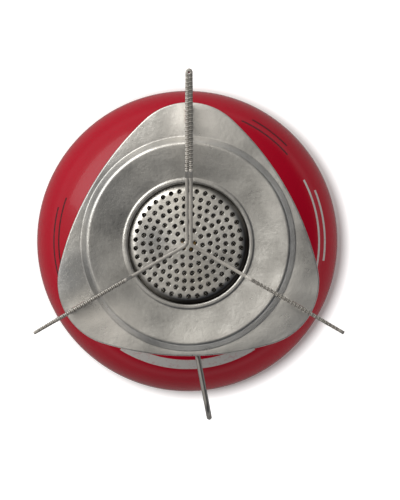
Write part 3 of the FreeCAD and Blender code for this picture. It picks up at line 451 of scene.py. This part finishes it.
def plateReach(size, angle, inset):
    # distance from the axis to the rounded triangle's outline, moved inwards by the inset
    back = size["sideRadius"] - size["flat"]
    lobe = lobeDistance(size)
    fromLobe = (math.degrees(angle) - 90 + 60) % 120 - 60
    join = Vector((-back * math.cos(math.radians(60)), -back * math.sin(math.radians(60))))
    centre = Vector((lobe, 0))
    stretch = (size["sideRadius"] - inset) / (size["sideRadius"] - size["lobeRadius"])
    tangent = join + (centre - join) * stretch
    turn = math.degrees(math.atan2(tangent.y, tangent.x))
    if abs(fromLobe) < turn:
        offset, radius, phase = lobe, size["lobeRadius"] - inset, math.radians(fromLobe)
    else:
        offset, radius, phase = -back, size["sideRadius"] - inset, math.radians(60 - abs(fromLobe))
    return offset * math.cos(phase) + math.sqrt(radius ** 2 - (offset * math.sin(phase)) ** 2)


def growRim(bm, edges, size, inset, level):
    made = bmesh.ops.extrude_edge_only(bm, edges=edges)["geom"]
    for vert in [item for item in made if isinstance(item, bmesh.types.BMVert)]:
        angle = math.atan2(vert.co.y, vert.co.x)
        reach = plateReach(size, angle, inset) * mm
        vert.co = (reach * math.cos(angle), reach * math.sin(angle), level * mm)
    return [item for item in made if isinstance(item, bmesh.types.BMEdge)]


def slotCutter(size):
    # under each arm, a close slot for its tab in the floor of a shallow trough
    bm = bmesh.new()
    top = size["middle"] + size["sheet"] / 2
    through, endPlay = size["cutThrough"], size["endPlay"]
    tabFrom, tabTo = size["tab"]
    for turn, layers in ((0, 2), (120, 1), (240, 1)):
        tabHalf = size["strip"] * layers / 2 + (size["layerPlay"] if layers == 2 else 0)
        turned = Matrix.Rotation(math.radians(turn), 4, "Z")
        played = Matrix.Translation((size["playX"] * mm, size["playY"] * mm, 0)) @ turned
        trough = (turned, tabHalf + size["troughMargin"], size["slotStart"], size["slotEnd"],
                  top - size["troughDepth"])
        slot = (played, tabHalf + size["tabPlay"], tabFrom - endPlay, tabTo + endPlay, top - through)
        for place, half, start, end, floor in (trough, slot):
            box = Matrix.Diagonal((2 * half * mm, (end - start) * mm,
                                   (top + through - floor) * mm, 1))
            middle = Matrix.Translation((0, (start + end) / 2 * mm,
                                         (top + through + floor) / 2 * mm))
            bmesh.ops.create_cube(bm, size=1, matrix=place @ middle @ box)
    mesh = bpy.data.meshes.new("slotCutter")
    bm.to_mesh(mesh)
    bm.free()
    cutter = bpy.data.objects.new("slotCutter", mesh)
    bpy.context.scene.collection.objects.link(cutter)
    return cutter


def cutAway(piece, cutter):
    cut = piece.modifiers.new("cut", "BOOLEAN")
    cut.operation = "DIFFERENCE"
    cut.solver = "EXACT"
    cut.use_self = True
    cut.object = cutter
    applyModifiers(piece)
    bpy.data.objects.remove(cutter)


def makePlate(size):
    bm = bmesh.new()
    pen = Pen(bm, size["wireStart"], size["middle"], 180)
    pen.to(size["stepOuter"], size["middle"])
    pen.bend(size["stepFillet"], -size["stepSlope"], steps=5)
    pen.line(size["stepRun"])
    pen.bend(size["crestRadius"], size["stepSlope"] + size["dishSlope"], steps=7)
    start = pen.vertex.co.x / mm
    flank = math.sin(math.radians(size["beadSlope"]))
    dish = math.sin(math.radians(size["dishSlope"]))
    foot = size["collarRadius"] + size["beadRadius"] * (1 + flank) + size["beadFillet"] * (flank + dish)
    for step in range(1, size["dishSteps"] + 1):
        pen.toX(start + (foot - start) * step / size["dishSteps"])
    pen.bend(size["beadFillet"], -size["beadSlope"] - size["dishSlope"], steps=5)
    pen.bend(size["beadRadius"], size["beadSlope"], steps=6)
    pen.toX(size["collarRadius"] + size["lipCorner"])
    pen.bend(size["lipCorner"], 90, steps=7)
    pen.line(size["collarDepth"])
    spinWire(bm, size["around"])
    rim = [edge for edge in bm.edges if edge.is_boundary and edge.verts[0].co.xy.length > 30 * mm]
    radius = size["edgeRoll"] - size["sheet"] / 2
    rim = growRim(bm, rim, size, size["edgeRoll"], size["middle"])
    for step in range(1, size["edgeSteps"] + 1):
        angle = math.radians(90 / size["edgeSteps"] * step)
        rim = growRim(bm, rim, size, size["edgeRoll"] - radius * math.sin(angle),
                      size["middle"] - radius * (1 - math.cos(angle)))
    bottom = size["middle"] + size["sheet"] / 2 - size["edgeDepth"]
    growRim(bm, rim, size, size["sheet"] / 2, bottom)
    bmesh.ops.recalc_face_normals(bm, faces=bm.faces[:])
    piece = finishPiece("burnerPlate", bm, plateSteel, "stove", ("burner_plate",))
    thicken(piece, size["sheet"] * mm)
    applyModifiers(piece)
    cutAway(piece, slotCutter(size))
    piece.data.set_sharp_from_angle(angle=math.radians(size["shadeAngle"]))


makePlate(plate)
print("burner plate made")


disc = {
    "edgeMiddle": 129.6282, "outer": 19.35, "sheet": 0.4, "slope": 2.6, "roll": 3.5, "shoulder": 32,
    "fall": 1.0, "corner": 0.35, "skirt": 1.9, "firstRing": 2.1, "ringPitch": 2.48,
    "counts": (5, 10, 17, 24, 30, 34, 38), "turns": (7, -6, 1, 7.4, 0, 0, 5),
    "hole": 0.77, "flare": 0.12, "flareDepth": 0.09, "pinDepth": 3, "pinAround": 16,
    "shadeAngle": 18, "around": 152,
}


def makeDisc(size):
    bm = bmesh.new()
    slope, shoulder = math.radians(size["slope"]), math.radians(size["shoulder"])
    edge = size["outer"] - size["sheet"] / 2 - size["corner"] * (1 - math.sin(shoulder))
    edge -= size["fall"] * math.cos(shoulder) + size["roll"] * (math.sin(shoulder) - math.sin(slope))
    curve = edge / math.sin(slope)
    top = size["edgeMiddle"] + curve * (1 - math.cos(slope))
    pen = Pen(bm, 0, top, 0)
    pen.bend(curve, -size["slope"], steps=14)
    pen.bend(size["roll"], size["slope"] - size["shoulder"], steps=8)
    pen.line(size["fall"])
    pen.bend(size["corner"], size["shoulder"] - 90, steps=5)
    pen.line(size["skirt"])
    spinWire(bm, size["around"])
    bmesh.ops.recalc_face_normals(bm, faces=bm.faces[:])
    piece = finishPiece("burnerDisc", bm, discSteel, "stove", ("burner_disc",))
    thicken(piece, size["sheet"] * mm)
    applyModifiers(piece)
    cutAway(piece, holePunch(size, curve, top))
    piece.data.set_sharp_from_angle(angle=math.radians(size["shadeAngle"]))


def holePunch(size, curve, top):
    # one flared pin for each hole, so that every hole has a small countersunk edge
    bm = bmesh.new()
    pen = Pen(bm, 0, -size["pinDepth"], 0)
    pen.to(size["hole"], -size["pinDepth"])
    pen.to(size["hole"], -size["flareDepth"])
    pen.to(size["hole"] + size["flare"] * 2, size["flareDepth"])
    pen.to(0, size["flareDepth"])
    spinWire(bm, size["pinAround"])
    bmesh.ops.recalc_face_normals(bm, faces=bm.faces[:])
    pin = bm.faces[:]
    for ring, (count, turn) in enumerate(zip(size["counts"], size["turns"])):
        reach = size["firstRing"] + size["ringPitch"] * ring
        drop = curve - math.sqrt(curve ** 2 - reach ** 2)
        level = top + size["sheet"] / 2 - drop
        for index in range(count):
            angle = math.radians(turn + 360 * index / count)
            made = bmesh.ops.duplicate(bm, geom=pin)["geom"]
            verts = [item for item in made if isinstance(item, bmesh.types.BMVert)]
            place = Vector((reach * math.cos(angle), reach * math.sin(angle), level)) * mm
            bmesh.ops.translate(bm, verts=verts, vec=place)
    bmesh.ops.delete(bm, geom=pin, context="FACES")
    mesh = bpy.data.meshes.new("holePunch")
    bm.to_mesh(mesh)
    bm.free()
    punch = bpy.data.objects.new("holePunch", mesh)
    bpy.context.scene.collection.objects.link(punch)
    return punch


makeDisc(disc)
print("burner disc made")


strip = {"middle": 0.08, "gap": 0.2, "near": 0.6, "pressed": 0.06, "from": 26.0, "to": 52.8}


def pressTogether(piece, size):
    # the two layers of the doubled arm, pressed almost shut between the middle and the fold
    for vertex in piece.data.vertices:
        across = vertex.co.x / mm - size["middle"]
        within = size["from"] < vertex.co.y / mm < size["to"]
        if abs(across) < size["gap"] * size["near"] and within:
            vertex.co.x = (size["middle"] + math.copysign(size["pressed"] / 2, across)) * mm


# each with the width of its broken edges in millimetres
edgeBroken = (
    ("pot_support", supportSteel, "stove", "support_steel", 0.07),
    ("handle_wire", wireSteel, "handle", "wire_steel", 0.1),
    ("burner_shell", shellSteel, "stove", "pressed_steel", 0.08),
    ("mixer_cage", shellSteel, "stove", "mixer_steel", 0.1),
    ("valve_body", aluminiumFinish, "stove", "anodised_aluminium", 0.15),
    ("needle_spindle", barSteel, "spindle", "steel_bar", 0.1),
    ("gland_nut", brassFinish, "stove", "brass", 0.15),
    ("jet", brassFinish, "stove", "brass", 0.08),
    ("burner_screws", shellSteel, "stove", "screw_steel", 0.12),
    ("canister_base", baseEnamel, "canister", "red_enamel", 0.05),
    ("valve_cup", cupSteel, "canister", "tinned_steel", 0.05),
)
for node, finish, body, slot, bevel in edgeBroken:
    softened = softenedCopy(node, finish, body, bevel, softening)
    if node == "pot_support":
        pressTogether(softened, strip)
print("edges softened")

plain = {
    "cup_gasket": rubberFinish, "valve_seal": rubberFinish, "canister_seal": rubberFinish,
    "spindle_seal": rubberFinish, "valve_housing": plasticFinish, "valve_stem": plasticFinish,
    "valve_spring": wireSteel, "thread_insert": brassFinish, "probe_pin": brassFinish,
    "gas_filter": bronzeFinish, "diffuser": meshSteel,
}
for node, finish in plain.items():
    for holder in nodes[node].material_slots:
        holder.material = finish.material
print("inner pieces finished")


studio = {
    "lens": 123.6, "eye": (-0.003, 0.0068, 0.680), "aim": (0.00528, -0.0041, 0.0),
    "floorReach": 0.45, "floorSides": 64, "floorTone": 0.85, "floorGloss": 0.35,
    "floorRoughness": 0.9, "paleCentre": (2.0, -0.8), "paleFrom": 59.0, "paleTo": 64.0, "paleGlow": 0.9,
    "shadeGlow": 0.02, "mirrorGlow": 0.04, "lightAim": (0, 0, 0.05),
    "keyPlace": (-0.60, 0.50, 0.80), "keySize": 0.8, "keyPower": 5.6,
    "fillPlace": (0.75, -0.35, 0.35), "fillSize": 0.5, "fillPower": 2.2,
    "airLow": (0.05, 0.055, 0.065), "airHigh": (1.24, 1.20, 1.12), "airToward": (-0.60, 0.48, 0.64),
    "airBand": 0.8, "bandHeight": 0.25, "clipStart": 0.01,
}


def makeFloor(size):
    bm = bmesh.new()
    bmesh.ops.create_circle(bm, cap_ends=True, radius=size["floorReach"],
                            segments=size["floorSides"])
    mesh = bpy.data.meshes.new("floor")
    bm.to_mesh(mesh)
    bm.free()
    floor = bpy.data.objects.new("floor", mesh)
    bpy.context.scene.collection.objects.link(floor)
    finish = Finish("paleFloor", (size["floorTone"],) * 3, size["floorRoughness"])
    paths = finish.node("ShaderNodeLightPath")
    shown = paths["Is Camera Ray"].math("MAXIMUM", paths["Is Transmission Ray"])
    x, y = finish.axes()[:2]
    # white glow for camera rays outside a circle round the canister; the circle's centre is moved to
    # the lower right, so the glow covers the shadow closer in on the upper left than on the lower right
    right, back = x * toMm - size["paleCentre"][0], y * toMm - size["paleCentre"][1]
    away = (right * right + back * back).math("SQRT")
    pale = finish.spread(away, size["paleFrom"], size["paleTo"], 0.0, 1.0)
    gloss = paths["Is Glossy Ray"] * size["mirrorGlow"]
    white = (pale * size["paleGlow"] + size["shadeGlow"]) * shown + gloss
    finish.shader.inputs["Emission Strength"].default_value = 1.0
    finish.feed(Emission_Color=finish.blend(white, (0, 0, 0), (1, 1, 1)))
    tones = (size["floorGloss"],) * 3, (size["floorTone"],) * 3
    finish.feed(Base_Color=finish.blend(shown, *tones))
    mesh.materials.append(finish.material)


def makeWorld(size):
    world = bpy.data.worlds.new("studioAir")
    world.use_nodes = True
    bpy.context.scene.world = world
    air = Graph(world.node_tree)
    background = world.node_tree.nodes["Background"]
    shown = air.node("ShaderNodeLightPath")["Is Camera Ray"]
    parts = air.node("ShaderNodeSeparateXYZ", Vector=air.node("ShaderNodeTexCoord")["Generated"])
    toward = Vector(size["airToward"]).normalized()
    facing = parts["X"] * toward.x + parts["Y"] * toward.y + parts["Z"] * toward.z
    glow = facing.clamp() * facing.clamp()
    level = parts["Z"].math("ABSOLUTE") * (1 / size["bandHeight"])
    band = (1.0 - level).clamp().smooth() * size["airBand"]
    color = air.blend(band, air.blend(glow, size["airLow"], size["airHigh"]), (1, 1, 1))
    color = air.blend(shown, color, (1, 1, 1))
    world.node_tree.links.new(color.socket, background.inputs["Color"])


def areaLight(name, place, aim, size, power):
    lamp = bpy.data.lights.new(name, "AREA")
    lamp.shape = "SQUARE"
    lamp.size = size
    lamp.energy = power
    light = bpy.data.objects.new(name, lamp)
    bpy.context.scene.collection.objects.link(light)
    light.location = place
    light.rotation_euler = (Vector(aim) - Vector(place)).to_track_quat("-Z", "Y").to_euler()
    return light


def makeCamera(size):
    lens = bpy.data.cameras.new("camera")
    lens.lens = size["lens"]
    lens.clip_start = size["clipStart"]
    camera = bpy.data.objects.new("camera", lens)
    bpy.context.scene.collection.objects.link(camera)
    eye, aim = Vector(size["eye"]), Vector(size["aim"])
    back = (eye - aim).normalized()
    right = Vector((0, 1, 0)).cross(back).normalized()
    up = back.cross(right)
    turn = Matrix((right, up, back)).transposed()
    camera.matrix_world = Matrix.Translation(eye) @ turn.to_4x4()
    bpy.context.scene.camera = camera


makeFloor(studio)
makeWorld(studio)
lightAim = studio["lightAim"]
areaLight("keyLight", studio["keyPlace"], lightAim, studio["keySize"], studio["keyPower"])
fillLight = areaLight("fillLight", studio["fillPlace"], lightAim, studio["fillSize"],
                      studio["fillPower"])
fillLight.visible_glossy = False
makeCamera(studio)
bpy.context.scene.view_settings.view_transform = "Standard"
print("studio ready")
